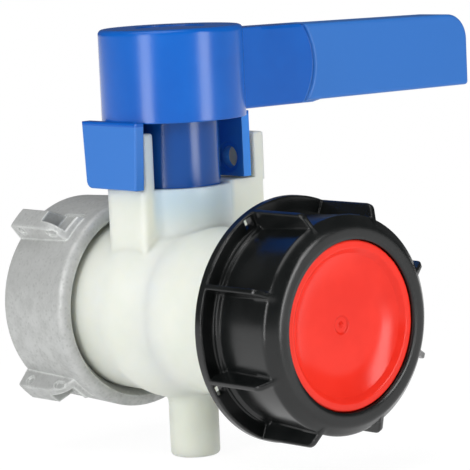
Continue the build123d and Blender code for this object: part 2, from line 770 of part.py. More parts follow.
# Wings: the left one on the -Y side, the right one with the seal hole
wing_top = hub_bottom + wing_top_overlap
with BuildPart() as wing_left:
    with BuildSketch(Plane.XZ.offset(wing_inner_face)) as left_wing:
        with BuildLine():
            Polyline(
                (stem_x - left_wing_back, wing_top),
                (stem_x - left_wing_back + wing_draft, wing_bottom),
                (stem_x + left_wing_front - wing_draft, wing_bottom),
                (stem_x + left_wing_front, wing_top),
                close=True,
            )
        make_face()
        fillet(left_wing.vertices().sort_by(Axis.X)[1], wing_corner)
    extrude(amount=wing_thickness)
    fillet(wing_left.faces().sort_by(Axis.Y)[0].edges(), wing_edge)
with BuildPart() as wing_right:
    with BuildSketch(Plane.XZ.offset(-outer_wing_face)) as right_wing:
        with BuildLine():
            Polyline(
                (stem_x - right_wing_back, wing_top),
                (stem_x - right_wing_back, wing_bottom),
                (stem_x + right_wing_front, wing_bottom),
                (stem_x + right_wing_front, wing_top),
                close=True,
            )
        make_face()
    extrude(amount=wing_thickness)
    fillet(wing_right.faces().sort_by(Axis.Y)[-1].edges(), wing_edge)

with BuildPart() as handle:
    about_stem(
        [
            (0, neck_bottom),
            (neck_radius, neck_bottom),
            (neck_radius, hub_top - hub_roof),
            (hub_radius - hub_wall, hub_top - hub_roof),
            (hub_radius - hub_wall, hub_bottom),
            (hub_radius, hub_bottom),
            (hub_radius, hub_top),
            (recess_radius, hub_top),
            (recess_radius, recess_floor),
            (0, recess_floor),
        ],
        rounded=[((hub_radius, hub_top), hub_edge)],
    )
    # Ribs between neck and hub wall
    rib_middle = (neck_radius + hub_radius - hub_wall) / 2
    with BuildSketch(Plane.XY.offset(hub_bottom + hub_wall)) as hub_ribs:
        with Locations((stem_x, 0)):
            with PolarLocations(rib_middle, hub_rib_count, start_angle=hub_rib_start_angle):
                Rectangle(hub_radius - hub_wall - neck_radius + cut_over, hub_rib_thickness)
    extrude(amount=hub_top - hub_roof - hub_bottom - hub_wall)
    # Inside rounding between the hub and both sides of the lever
    first_width = lever_width - 2 * lever_recess
    root_top, root_bottom = lever_outline(hub_radius + lever_root_radius, 0)
    with BuildSketch(Plane.XY.offset(root_bottom)) as lever_root:
        with Locations((stem_x, 0)):
            Circle(hub_radius - running_gap)
        with Locations((stem_x, hub_radius)):
            Rectangle(first_width, 2 * lever_root_radius + first_width)
        corners = lever_root.vertices().filter_by_position(Axis.Y, hub_radius / 2, hub_radius)
        fillet(corners, lever_root_radius)
        with Locations((stem_x, 0)):
            Circle(hub_radius - hub_wall / 2, mode=Mode.SUBTRACT)
    extrude(amount=root_top - root_bottom)
    add(lever.part)
    add(lever_grip.part)
    # Hollow of the lever, open below, with cross ribs left standing
    hollow_start = hub_radius + lever_wall
    hollow_end = lever_reach - lever_nose
    hollow_count = int((hollow_end - hollow_start) / lever_rib_pitch)
    pocket_length = (hollow_end - hollow_start) / hollow_count - lever_wall
    pocket_width = first_width - 2 * lever_wall
    pocket_bottom = tip_bottom - lever_step - cut_over
    with BuildSketch(Plane.XY.offset(pocket_bottom)) as pockets:
        with Locations((stem_x, (hollow_start + hollow_end) / 2)):
            with GridLocations(0, pocket_length + lever_wall, 1, hollow_count):
                RectangleRounded(pocket_width, pocket_length, lever_pocket_corner)
    extrude(amount=tip_top - lever_wall - pocket_bottom, mode=Mode.SUBTRACT)
    add(wing_left.part)
    add(wing_right.part)
    with BuildSketch(Plane.XY.offset(wing_bottom)) as wing_web:
        web_middle = stem_x - right_wing_back + wing_web_thickness / 2
        with Locations((web_middle, (neck_radius + outer_wing_face) / 2)):
            Rectangle(wing_web_thickness, outer_wing_face - neck_radius)
    extrude(amount=hub_bottom - wing_bottom + hub_wall)
    seal_plane = Plane.XZ.offset(-outer_wing_face)
    with BuildSketch(seal_plane) as seal_hole:
        with Locations((stem_x + seal_hole_forward, seal_hole_height)):
            Circle(seal_hole_radius)
    extrude(amount=2 * wing_thickness, both=True, mode=Mode.SUBTRACT)
    with BuildSketch(Plane.XZ.offset(-wing_inner_face)) as seal_hole_lip:
        with Locations((stem_x + seal_hole_forward, seal_hole_height)):
            Circle(seal_hole_lip_radius)
    extrude(amount=-seal_hole_lip_depth, mode=Mode.SUBTRACT)
    # Groove of the neck's O-ring, drive socket and screw hole
    stem_ring(
        neck_ring_height - stem_ring_section / 2 - running_gap,
        neck_ring_height + stem_ring_section / 2 + running_gap,
        neck_ring_centre - stem_ring_section / 2,
        neck_radius + cut_over,
        Mode.SUBTRACT,
    )
    socket_width = drive_square + 2 * running_gap
    with BuildSketch(Plane.XY.offset(neck_bottom - cut_over)) as socket:
        with Locations((stem_x, 0)):
            RectangleRounded(socket_width, socket_width, drive_corner)
    extrude(amount=socket_top - neck_bottom + cut_over, mode=Mode.SUBTRACT)
    with BuildSketch(Plane.XY.offset(socket_top - cut_over)) as screw_hole:
        with Locations((stem_x, 0)):
            Circle(screw_radius + screw_clearance)
    extrude(amount=recess_floor - socket_top + 2 * cut_over, mode=Mode.SUBTRACT)
finish_piece(handle, "handle")

with BuildPart() as neck_oring:
    with Locations((stem_x, 0, neck_ring_height)):
        Torus(neck_ring_centre, stem_ring_section / 2)
finish_piece(neck_oring, "neck_oring")

# Screw, washer and plug in the hub's recess
washer_top = recess_floor + screw_washer_thickness
with BuildPart() as handle_screw_washer:
    stem_ring(recess_floor, washer_top, screw_radius + screw_clearance, screw_washer_radius)
finish_piece(handle_screw_washer, "handle_screw_washer")

screw_tip = washer_top - screw_length
with BuildPart() as handle_screw:
    stem_ring(washer_top, washer_top + screw_head_height, 0, screw_head_radius)
    stem_ring(stem_top, washer_top, 0, screw_radius)
    stem_ring(screw_tip, stem_top, 0, screw_pilot_radius - running_gap)
    with BuildSketch(Plane.XY.offset(washer_top + screw_head_height)) as hex_socket:
        with Locations((stem_x, 0)):
            RegularPolygon(screw_socket_width / 2, 6, major_radius=False)
    extrude(amount=-screw_socket_depth, mode=Mode.SUBTRACT)
finish_piece(handle_screw, "handle_screw")

plug_radius = recess_radius - plug_gap
plug_top = hub_top - plug_sunk
with BuildPart() as hub_plug:
    about_stem(
        [
            (0, plug_top),
            (plug_radius, plug_top),
            (plug_radius, plug_top - plug_thickness - plug_skirt),
            (plug_radius - plug_wall, plug_top - plug_thickness - plug_skirt),
            (plug_radius - plug_wall, plug_top - plug_thickness),
            (0, plug_top - plug_thickness),
        ]
    )
finish_piece(hub_plug, "hub_plug")

# Screw cap: one rib is drawn on the radius and repeated round the barrel
ring_back = stem_x + cap_back
ring_front = stem_x + cap_front
bevel_start = ring_front - cap_bevel
front_radius = barrel_radius + barrel_draft
face_radius = front_radius - cap_bevel_width
with BuildPart() as rib:
    rib_foot = barrel_radius - rib_sunk
    rib_start = ring_back + flange_thickness / 2
    with BuildSketch(Plane.XZ) as rib_side:
        with BuildLine():
            Polyline(
                (rib_foot, rib_start),
                (flange_radius, rib_start),
                (flange_radius, ring_front - rib_back),
                (rib_foot, ring_front - cap_edge / 2),
                close=True,
            )
        make_face()
        fillet(rib_side.vertices().group_by(Axis.X)[-1].sort_by(Axis.Y)[-1], rib_nose)
    extrude(amount=rib_thickness / 2, both=True)
    fillet(rib.edges().group_by(Axis.Y)[0] + rib.edges().group_by(Axis.Y)[-1], rib_edge)

with BuildPart(Plane.YZ) as cap_ring:
    flange_front = ring_back + flange_thickness
    foot_end = flange_front + cap_foot_band
    about_flow(
        [
            (ring_back, cap_bore_radius),
            (ring_back, flange_radius),
            (flange_front, flange_radius),
            (flange_front, cap_foot_radius),
            (foot_end, cap_foot_radius),
            (foot_end + cap_slope, barrel_radius),
            (bevel_start, front_radius),
            (ring_front, face_radius),
            (ring_front, insert_radius + insert_gap),
            (ring_front - cap_front_wall, insert_radius + insert_gap),
            (ring_front - cap_front_wall, cap_bore_radius),
        ],
        rounded=[
            ((ring_back, flange_radius), rib_edge),
            ((flange_front, flange_radius), rib_edge),
            ((bevel_start, front_radius), cap_edge),
            ((ring_front, face_radius), cap_edge),
        ],
    )
    with PolarLocations(0, rib_count, start_angle=rib_start_angle):
        add(rib.part)
    hole_middle = (cap_foot_radius + flange_radius) / 2
    hole_beside = rib_thickness / 2 + flange_hole_beside + flange_hole_side / 2
    with BuildSketch(Plane.YZ.offset(ring_back)) as flange_holes:
        with PolarLocations(0, flange_hole_count, start_angle=flange_hole_start_angle):
            with Locations((hole_middle, hole_beside)):
                Rectangle(flange_hole_side, flange_hole_side)
    extrude(amount=flange_thickness, mode=Mode.SUBTRACT)
finish_piece(cap_ring, "cap_ring")

# Insert: a dished disc whose flange sits behind the ring's front wall
insert_front = ring_front - insert_sunk
insert_flange_front = ring_front - cap_front_wall - insert_gap
insert_back = insert_flange_front - insert_flange
rim_inner = insert_radius - insert_rim
bowl_edge = (insert_front - insert_step, rim_inner - insert_step_width)
bowl_floor = insert_front - bowl_depth
with BuildPart() as cap_insert:
    with BuildSketch(Plane.XZ) as insert_half:
        with BuildLine():
            Polyline(
                (bowl_floor, bowl_flat_radius),
                (bowl_floor, dimple_radius),
                (bowl_floor - dimple_depth, dimple_radius - dimple_depth),
                (bowl_floor - dimple_depth, nub_radius),
                (bowl_floor - dimple_depth + nub_height, nub_radius - nub_height),
                (bowl_floor - dimple_depth + nub_height, 0),
                (insert_back, 0),
                (insert_back, insert_flange_radius),
                (insert_flange_front, insert_flange_radius),
                (insert_flange_front, insert_radius),
                (insert_front, insert_radius),
                (insert_front, rim_inner),
                bowl_edge,
            )
            TangentArc((bowl_floor, bowl_flat_radius), bowl_edge, tangent=(0, 1))
        make_face()
        fillet(insert_half.vertices().sort_by_distance((insert_front, insert_radius))[0], insert_edge)
        fillet(insert_half.vertices().sort_by_distance((insert_front, rim_inner))[0], insert_edge)
    revolve(insert_half.sketch, axis=Axis.X)
finish_piece(cap_insert, "cap_insert")

with BuildPart() as cap_gasket:
    flow_ring(insert_back - cap_gasket_thickness, insert_back, cap_gasket_bore_radius, cap_gasket_radius)
finish_piece(cap_gasket, "cap_gasket")
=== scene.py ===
# %% [markdown]
# # Outlet valve of a bulk container
# The valve is already built as solids: a cast union nut, a milky plastic body, a blue lever
# handle and a black screw cap with a red insert. This script dresses them. It loads the solids,
# which stay where they are, winds the three screw threads, gives every piece its finish and
# lights the whole as a studio would. Lengths are in metres, the flow runs along X, the stem
# stands along Z and the closed lever points along Y.

# %% Load the solids
import json

import bpy
import numpy as np
from mathutils import Matrix, Vector


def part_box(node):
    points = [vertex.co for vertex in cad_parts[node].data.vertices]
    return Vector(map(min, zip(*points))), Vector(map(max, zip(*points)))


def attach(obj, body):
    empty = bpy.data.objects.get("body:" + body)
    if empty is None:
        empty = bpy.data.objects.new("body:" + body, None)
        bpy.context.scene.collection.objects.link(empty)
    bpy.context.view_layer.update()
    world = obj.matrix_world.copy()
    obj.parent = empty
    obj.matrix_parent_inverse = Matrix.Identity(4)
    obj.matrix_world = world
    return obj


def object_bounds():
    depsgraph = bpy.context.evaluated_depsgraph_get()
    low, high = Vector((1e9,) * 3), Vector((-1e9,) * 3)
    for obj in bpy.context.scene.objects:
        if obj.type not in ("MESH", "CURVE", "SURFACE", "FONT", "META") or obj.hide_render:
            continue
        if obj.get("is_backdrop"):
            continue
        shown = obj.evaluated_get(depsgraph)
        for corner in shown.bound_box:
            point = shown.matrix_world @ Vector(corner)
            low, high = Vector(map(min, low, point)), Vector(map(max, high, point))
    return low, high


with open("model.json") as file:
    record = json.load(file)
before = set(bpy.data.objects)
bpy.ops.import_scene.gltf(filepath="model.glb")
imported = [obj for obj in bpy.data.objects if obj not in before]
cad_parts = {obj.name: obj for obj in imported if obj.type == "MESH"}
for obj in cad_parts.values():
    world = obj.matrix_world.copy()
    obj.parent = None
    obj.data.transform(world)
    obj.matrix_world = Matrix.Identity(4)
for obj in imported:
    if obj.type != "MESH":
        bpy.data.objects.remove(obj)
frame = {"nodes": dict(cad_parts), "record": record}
solid_box = [list(corner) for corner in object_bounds()]
mm = 0.001
box_in_mm = [[round(v / mm, 1) for v in corner] for corner in solid_box]
print("solids:", len(frame["nodes"]), "box in mm:", box_in_mm)

# %% [markdown]
# ## Where things are
# The threads, the finishes and the floor need the places of the pieces that they belong to. They
# could be typed in again, but reading them from the boxes of the solids keeps both in step.

# %% Measure the solids
nut_low, nut_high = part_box("union_nut")
shell_low, shell_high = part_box("body_shell")
ring_low, ring_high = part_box("cap_ring")
ball_low, ball_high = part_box("ball")
stem_x = (ball_low.x + ball_high.x) / 2
neck_mouth = shell_high.x
print("in mm, stem axis at x =", round(stem_x / mm, 2), "and neck's mouth at x =", round(neck_mouth / mm, 2))

# %% [markdown]
# ## Surfaces from a grid of points
# Every new piece is a surface given by two numbers, u and v: one array holds the points, and the
# faces join neighbours. It could be drawn vertex by vertex in edit mode, but a formula is exact,
# quick to change and easy to read. The helper closes the tube that the grid makes and turns its
# faces outwards by the sign of the volume that they enclose.

# %% Helper: a mesh from a grid
def tube_piece(name, points, sharp_degrees):
    """Joins points[u, v] to their neighbours, round and round along v, and closes both ends.

    The volume is the sum of a . (b x c) / 6 over the triangles a, b, c; where it comes out
    negative, the faces are turned over.
    """
    rows, columns = points.shape[:2]
    index = np.arange(rows * columns).reshape(rows, columns)
    here, down = index[:-1], index[1:]
    across, down_across = np.roll(here, -1, axis=1), np.roll(down, -1, axis=1)
    quads = np.stack([here, across, down_across, down], axis=-1).reshape(-1, 4)
    first, last = index[0], index[-1]
    start = np.stack([np.full(columns - 2, first[0]), first[2:], first[1:-1]], axis=-1)
    end = np.stack([np.full(columns - 2, last[0]), last[1:-1], last[2:]], axis=-1)
    fans = np.concatenate([start, end])
    flat = points.reshape(-1, 3)
    triangles = np.concatenate([quads[:, [0, 1, 2]], quads[:, [0, 2, 3]], fans])
    a, b, c = flat[triangles[:, 0]], flat[triangles[:, 1]], flat[triangles[:, 2]]
    volume = float(np.einsum("ij,ij->i", a, np.cross(b, c)).sum() / 6)
    if volume < 0:
        quads, fans = quads[:, ::-1], fans[:, ::-1]
    mesh = bpy.data.meshes.new(name)
    mesh.from_pydata(flat.tolist(), [], quads.tolist() + fans.tolist())
    mesh.polygons.foreach_set("use_smooth", np.ones(len(mesh.polygons), bool))
    mesh.set_sharp_from_angle(angle=np.radians(sharp_degrees))
    piece = bpy.data.objects.new(name, mesh)
    bpy.context.scene.collection.objects.link(piece)
    print(name, "faces:", len(mesh.polygons), "volume in mm3:", round(abs(volume) / mm**3, 1))
    return piece


# %% [markdown]
# ## Screw threads
# The nut screws on to the tank's neck, and the cap on to the body's outlet. On the real valve
# the threads are moulded or cast with their walls. A Screw modifier could wind them, but its
# ends stop dead; here one section is carried along a helix by formula, and its height fades in
# and out over a part of a turn, as the mould leaves it. Each ridge stands on a plain wall of the
# solids and is sunk in it by a little.

# %% Helper: a thread ridge
def thread(name, start, length, pitch, wall, tip, foot=0.62, crest=0.26, lean=0.10):
    """Ridge wound about the X axis.

    u is the angle along the helix and v the place round the ridge's section:
    x = start + pitch * u / 2 pi + across(v), radius = wall + (tip - wall) * fade(u) * rise(v),
    y = radius * cos u, z = radius * sin u. foot and crest are widths as shares of the pitch,
    and lean moves the crest along the axis, which makes the section a buttress.
    """
    steps_per_turn = 72
    fading_turns = 0.35
    lowest_fade = 0.02
    crest_rounding = 0.06
    shoulder = 0.90
    sunk = -0.12
    turns = (length - foot * pitch) / pitch
    u = np.linspace(0, 2 * np.pi * turns, int(steps_per_turn * turns) + 1)
    crest_low, crest_high = lean - crest / 2, lean + crest / 2
    across = pitch * np.array([-foot / 2, -foot / 2, crest_low, crest_low + crest_rounding,
                               crest_high - crest_rounding, crest_high, foot / 2, foot / 2])
    rise = np.array([sunk, 0.0, shoulder, 1.0, 1.0, shoulder, 0.0, sunk])
    into_thread = np.minimum(u, u[-1] - u) / (2 * np.pi * fading_turns)
    fade = np.sin(np.clip(into_thread, lowest_fade, 1) * np.pi / 2)
    radius = wall + (tip - wall) * np.where(rise > 0, rise * fade[:, None], rise)
    x = start + foot * pitch / 2 + pitch * u[:, None] / (2 * np.pi) + across
    points = np.stack([x, radius * np.cos(u)[:, None], radius * np.sin(u)[:, None]], axis=-1)
    return tube_piece(name, points, sharp_degrees=50)


# %% [markdown]
# ### Thread in the union nut
# The tank's neck has a fine thread, so the nut's ridge is low and its section even. It could be a
# bump in the material, but it shows at the nut's open side, and the exported shape has to have it.

# %% Thread in the union nut
nut_bore = 31.0 * mm
nut_thread = thread("nut_thread", start=nut_low.x + 0.6 * mm, length=16.0 * mm, pitch=4.0 * mm,
                    wall=nut_bore, tip=nut_bore - 1.6 * mm, lean=0)
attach(nut_thread, "nut")

# %% [markdown]
# ### Thread on the outlet neck
# The outlet has the coarse buttress thread that hoses and adapters for such tanks screw on to. It
# shows once the cap is off. One broad ridge with its steeper flank towards the mouth makes it.

# %% Thread on the outlet neck
coarse_pitch = 6.0 * mm
neck_root = 27.0 * mm
neck_thread = thread("neck_thread", start=neck_mouth - 18.6 * mm, length=17.6 * mm, pitch=coarse_pitch,
                     wall=neck_root, tip=neck_root + 2.7 * mm)
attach(neck_thread, "body")

# %% [markdown]
# ### Thread inside the cap
# The cap's ridge runs in the groove that the neck's ridge leaves free. It is made narrower than
# that groove, so that the two never touch while the cap turns.

# %% Thread inside the cap
cap_bore = 30.3 * mm
cap_thread = thread("cap_thread", start=ring_low.x + 5.6 * mm, length=14.5 * mm, pitch=coarse_pitch,
                    wall=cap_bore, tip=cap_bore - 2.6 * mm, foot=0.34, crest=0.12, lean=-0.06)
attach(cap_thread, "cap_ring")

# %% [markdown]
# ## Tools for the finishes
# A material is a tree of nodes. It could be wired by hand in the shader editor, but a few helpers
# make each node and its links one readable line, and the masks that follow read like sentences.

# %% Helper: nodes and groups
def new_group(name, inputs, outputs):
    """A shader node group with named sockets; gives back the group and its two end nodes."""
    group = bpy.data.node_groups.new(name, "ShaderNodeTree")
    kinds = {"value": "NodeSocketFloat", "colour": "NodeSocketColor", "vector": "NodeSocketVector"}
    for label, kind, value in inputs:
        socket = group.interface.new_socket(name=label, in_out="INPUT", socket_type=kinds[kind])
        if value is not None:
            socket.default_value = value
    for label, kind in outputs:
        group.interface.new_socket(name=label, in_out="OUTPUT", socket_type=kinds[kind])
    return group, group.nodes.new("NodeGroupInput"), group.nodes.new("NodeGroupOutput")


def node(tree, kind, links=(), **settings):
    """Adds a node, sets its properties or inputs by name, and links (socket, source) pairs."""
    made = tree.nodes.new("ShaderNode" + kind)
    for key, value in settings.items():
        if hasattr(made, key):
            setattr(made, key, value)
        else:
            made.inputs[key.replace("_", " ")].default_value = value
    for socket, source in links:
        tree.links.new(source, made.inputs[socket])
    return made


def feed(tree, socket, value):
    """Puts a number on a socket, or links another socket to it."""
    if isinstance(value, (int, float, tuple)):
        socket.default_value = value
    else:
        tree.links.new(value, socket)


# %% Helper: sums, masks and mixtures
def calc(tree, operation, a, b=0.0, clamp=False):
    """A Math node whose two inputs are numbers or sockets."""
    made = node(tree, "Math", operation=operation, use_clamp=clamp)
    feed(tree, made.inputs[0], a)
    feed(tree, made.inputs[1], b)
    return made.outputs[0]


def product(tree, first, *others):
    """All the numbers or sockets multiplied together."""
    for other in others:
        first = calc(tree, "MULTIPLY", first, other)
    return first


def distance_off(tree, a, b):
    """The distance from an axis, the root of a squared plus b squared."""
    return calc(tree, "SQRT", calc(tree, "ADD", product(tree, a, a), product(tree, b, b)))


def ramp(tree, value, low, high, to_low=0.0, to_high=1.0):
    """Maps low..high smoothly to to_low..to_high and holds the ends."""
    made = node(tree, "MapRange", [("Value", value)], interpolation_type="SMOOTHSTEP")
    for label, number in (("From Min", low), ("From Max", high), ("To Min", to_low), ("To Max", to_high)):
        made.inputs[label].default_value = number
    return made.outputs["Result"]


def falling(tree, value, low, high):
    """A mask that is 1 below low and 0 above high."""
    return ramp(tree, value, low, high, 1.0, 0.0)


def mix_colour(tree, factor, a, b):
    """Mixes two colours, each a socket or four numbers."""
    made = node(tree, "Mix", [("Factor", factor)], data_type="RGBA")
    for label, value in (("A", a), ("B", b)):
        socket = [s for s in made.inputs if s.name == label and s.type == "RGBA"][0]
        feed(tree, socket, value)
    return [s for s in made.outputs if s.type == "RGBA"][0]


def noise(tree, vector, scale, detail, roughness=0.55):
    """The value of a noise texture, scale in bumps per metre."""
    made = node(tree, "TexNoise", [("Vector", vector)], Detail=detail, Roughness=roughness)
    feed(tree, made.inputs["Scale"], scale)
    return made.outputs["Fac"]


# %% [markdown]
# ## The moulded skin
# Each moulded surface has a skin: a fine grain that blurs reflections, slow clouds of tone, and
# very shallow waves where the plastic shrank. An image texture would need a photograph of the
# surface; nodes on Object coordinates need no picture and no unwrapping, and stay with the piece
# when it moves. The skin is one node group that each plastic uses with its own sizes and colours.

# %% Group: moulded skin
skin, skin_in, skin_out = new_group(
    "moulded_skin",
    [("Position", "vector", None), ("Grain per metre", "value", 2200.0), ("Clouds per metre", "value", 45.0),
     ("Deep", "colour", (0.5, 0.5, 0.5, 1)), ("Pale", "colour", (0.6, 0.6, 0.6, 1)),
     ("Smooth", "value", 0.3), ("Dull", "value", 0.4)],
    [("Colour", "colour"), ("Roughness", "value"), ("Height", "value")],
)
waves_per_metre = 160.0
wave_share = 1.4
cloud_share = 0.6
position = skin_in.outputs["Position"]
grain = noise(skin, position, skin_in.outputs["Grain per metre"], detail=2.0)
clouds = noise(skin, position, skin_in.outputs["Clouds per metre"], detail=3.0)
waves = noise(skin, position, waves_per_metre, detail=1.0)
cloud_mask = ramp(skin, clouds, 0.32, 0.68)
skin_colour = mix_colour(skin, cloud_mask, skin_in.outputs["Deep"], skin_in.outputs["Pale"])
cloud_dullness = product(skin, cloud_mask, cloud_share)
dullness = calc(skin, "ADD", cloud_dullness, product(skin, grain, 1 - cloud_share))
rough_range = calc(skin, "SUBTRACT", skin_in.outputs["Dull"], skin_in.outputs["Smooth"])
skin_rough = calc(skin, "ADD", skin_in.outputs["Smooth"], product(skin, dullness, rough_range))
skin_height = calc(skin, "ADD", grain, product(skin, waves, wave_share))
skin.links.new(skin_colour, skin_out.inputs["Colour"])
skin.links.new(skin_rough, skin_out.inputs["Roughness"])
skin.links.new(skin_height, skin_out.inputs["Height"])
print("node group:", skin.name, "nodes:", len(skin.nodes))

# %% [markdown]
# ## A plastic from the skin
# A mould's edges are never sharp. The larger roundings are in the solids; the last fraction of a
# millimetre is shaded by a Bevel node, which bends the normal near an edge and costs no faces.
# Where a rounding is broader, a second Bevel node takes over inside a mask.

# %% Helper: a material with a skin
def coated(name, group, edge, height, strength=1.0):
    """A Principled material whose colour, roughness and relief come from a skin group.

    edge is the rounding that the Bevel node shades and height the depth of the relief, both in
    millimetres.
    """
    material = bpy.data.materials.new(name)
    material.use_nodes = True
    tree = material.node_tree
    shader = tree.nodes["Principled BSDF"]
    place = node(tree, "TexCoord").outputs["Object"]
    coat = node(tree, "Group", node_tree=group)
    rounded = node(tree, "Bevel", Radius=edge * mm, samples=6, name="rounded")
    relief = node(tree, "Bump", [("Height", coat.outputs["Height"]), ("Normal", rounded.outputs["Normal"])],
                  Distance=height * mm, Strength=strength, name="relief")
    tree.links.new(place, coat.inputs["Position"])
    tree.links.new(coat.outputs["Colour"], shader.inputs["Base Color"])
    tree.links.new(coat.outputs["Roughness"], shader.inputs["Roughness"])
    tree.links.new(relief.outputs["Normal"], shader.inputs["Normal"])
    print("material:", name)
    return material, tree, shader, place, coat


def moulded(name, deep, pale, smooth, dull, grain=2200.0, clouds=45.0, height=0.012, edge=0.35):
    """A plastic or rubber: two tones, the roughness from smooth to dull, and the skin's sizes."""
    material, tree, shader, place, coat = coated(name, skin, edge, height)
    for label, value in (("Grain per metre", grain), ("Clouds per metre", clouds), ("Deep", (*deep, 1)),
                         ("Pale", (*pale, 1)), ("Smooth", smooth), ("Dull", dull)):
        coat.inputs[label].default_value = value
    return material, tree, shader, place, coat


def round_wider(tree, mask, radius):
    """Shades edges with a larger rounding where the mask is 1."""
    wide = node(tree, "Bevel", Radius=radius, samples=8)
    soft = node(tree, "Mix", [("Factor", mask)], data_type="VECTOR")
    vectors = [s for s in soft.inputs if s.type == "VECTOR"]
    softened = [s for s in soft.outputs if s.type == "VECTOR"][0]
    tree.links.new(tree.nodes["rounded"].outputs["Normal"], vectors[-2])
    tree.links.new(wide.outputs["Normal"], vectors[-1])
    tree.links.new(softened, tree.nodes["relief"].inputs["Normal"])


# %% [markdown]
# ## Natural plastic of the body
# The body is unpigmented polyethylene. Light enters it, scatters and leaves a little further on,
# which gives it a milky look. Glass-like transmission would be slow and too clear, so subsurface
# scattering does the milkiness. The tower's foot melts into the housing, and a broader shaded
# rounding, from the lower half of the tower down, gives that soft change.

# %% Natural plastic
natural, tree, shader, place, coat = moulded(
    "natural_plastic", deep=(0.74, 0.77, 0.69), pale=(0.80, 0.82, 0.745), smooth=0.34, dull=0.46,
    grain=1500.0, clouds=38.0, height=0.008, edge=1.2,
)
shader.inputs["Subsurface Weight"].default_value = 0.75
shader.inputs["Subsurface Radius"].default_value = (1.0, 0.9, 0.75)
shader.inputs["Subsurface Scale"].default_value = 6.0 * mm
parts = node(tree, "SeparateXYZ", [("Vector", place)])
x, y, z = (parts.outputs[axis] for axis in "XYZ")
tower_foot = (34.0 * mm, 44.0 * mm)
round_wider(tree, falling(tree, z, *tower_foot), 4.0 * mm)
print("tower's foot is rounded up to z in mm:", round(tower_foot[1] / mm, 1))

# %% [markdown]
# ## Painted light and shade in the natural plastic
# The blue handle neck shines into the tower's wall and into the post beside it, and the metal nut
# takes light away from the wall next to it. Light that really passes through the plastic would
# need far more samples, so three soft masks, two round the stem axis and one along the flow, mix
# in a painted blue glow and a painted shade.

# %% Painted glow and shade in the natural plastic
tower_wall = (17.5 * mm, 20.0 * mm)
tower_rise = (22.0 * mm, 37.0 * mm)
post_reach = (22.5 * mm, 27.5 * mm)
post_rise = (34.0 * mm, 50.0 * mm)
left_side = (-10.0 * mm, 0.0)
nut_shade = (nut_high.x + 1.0 * mm, nut_high.x + 12.0 * mm)
from_stem = distance_off(tree, calc(tree, "SUBTRACT", x, stem_x), y)
# Painted blue glow from the handle on the tower's wall and the post, and painted shade by the nut.
painted_blue_glow_tower = product(tree, falling(tree, from_stem, *tower_wall), ramp(tree, z, *tower_rise), 0.52)
up_left = product(tree, ramp(tree, z, *post_rise), falling(tree, y, *left_side))
painted_blue_glow_post = product(tree, falling(tree, from_stem, *post_reach), up_left, 0.45)
painted_nut_shade = product(tree, falling(tree, x, *nut_shade), 0.25)
# The painted glow and the painted shade are mixed into the plastic's colour.
painted_light_colour = mix_colour(tree, painted_blue_glow_tower, coat.outputs["Colour"], (0.34, 0.54, 0.74, 1))
painted_light_colour = mix_colour(tree, painted_blue_glow_post, painted_light_colour, (0.34, 0.50, 0.68, 1))
painted_light_colour = mix_colour(tree, painted_nut_shade, painted_light_colour, (0.45, 0.45, 0.37, 1))
tree.links.new(painted_light_colour, shader.inputs["Base Color"])
print("tints mixed into", natural.name)

# %% [markdown]
# ## Blue plastic of the handle
# The handle is one glossy blue moulding, and its hub and the first length of the lever came from
# a polished mould. A clear coat would show a second, sharper highlight that the real one lacks,
# so a low roughness and a slightly lowered specular level make the gloss.

# %% Blue plastic
blue, tree, shader, place, coat = moulded(
    "blue_plastic", deep=(0.001, 0.098, 0.465), pale=(0.002, 0.115, 0.515), smooth=0.19, dull=0.27,
    grain=1900.0, clouds=40.0, height=0.006, edge=0.7,
)
shader.inputs["Specular IOR Level"].default_value = 0.38
parts = node(tree, "SeparateXYZ", [("Vector", place)])
x, y, z = (parts.outputs[axis] for axis in "XYZ")

# %% [markdown]
# ## Eroded places, painted glow and painted shade of the handle
# The mould of the grip and of the two wings was eroded, so they are duller and look lighter. The
# wing on the lever's side stands before a milky post; the light that would come through it is
# painted on as a lighter blue. The neck in the recess under the hub gets a painted shade of darker
# blue. Several materials would need the faces split, so one material changes its finish and its
# painted light by masks: a curved line across the lever, the wings' distance from the middle, and
# the distance from the stem axis.

# %% Eroded places, painted glow and painted shade
lever_middle = 76.5 * mm
line_bend_per_metre = 26.0
grip_line = (56.0 * mm, 56.6 * mm)
wing_side = (20.6 * mm, 21.2 * mm)
hub_underside = (60.6 * mm, 61.2 * mm)
neck_reach = (15.5 * mm, 18.5 * mm)
added_dullness = 0.14
off_middle = calc(tree, "SUBTRACT", z, lever_middle)
bent_line = product(tree, off_middle, off_middle, line_bend_per_metre)
on_grip = ramp(tree, calc(tree, "ADD", y, bent_line), *grip_line)
below_hub = falling(tree, z, *hub_underside)
on_wings = product(tree, ramp(tree, calc(tree, "ABSOLUTE", y), *wing_side), below_hub)
# Painted glow: the wing on the lever's side is painted a lighter blue.
painted_glow_wing = product(tree, ramp(tree, y, *wing_side), below_hub)
from_stem = distance_off(tree, calc(tree, "SUBTRACT", x, stem_x), y)
# Painted shade: the neck in the recess under the hub is painted a darker blue.
painted_recess_shade = product(tree, falling(tree, from_stem, *neck_reach), below_hub, 0.62)
eroded = calc(tree, "MAXIMUM", on_grip, on_wings)
blue_colour = mix_colour(tree, eroded, coat.outputs["Colour"], (0.030, 0.170, 0.560, 1))
blue_colour = mix_colour(tree, painted_glow_wing, blue_colour, (0.036, 0.240, 0.760, 1))
blue_colour = mix_colour(tree, painted_recess_shade, blue_colour, (0.001, 0.038, 0.170, 1))
blue_rough = calc(tree, "ADD", coat.outputs["Roughness"], product(tree, eroded, added_dullness))
tree.links.new(blue_colour, shader.inputs["Base Color"])
tree.links.new(blue_rough, shader.inputs["Roughness"])
print("grip begins at y in mm:", round(grip_line[0] / mm, 1))

# %% [markdown]
# ## Black plastic of the cap
# The ring is a black moulding with a satin skin, whose grain shows in the highlights and hardly
# in the colour. Its barrel runs into its face over a broad shoulder. More faces could round it,
# but the solids stay as they are, so the wider Bevel node shades it.

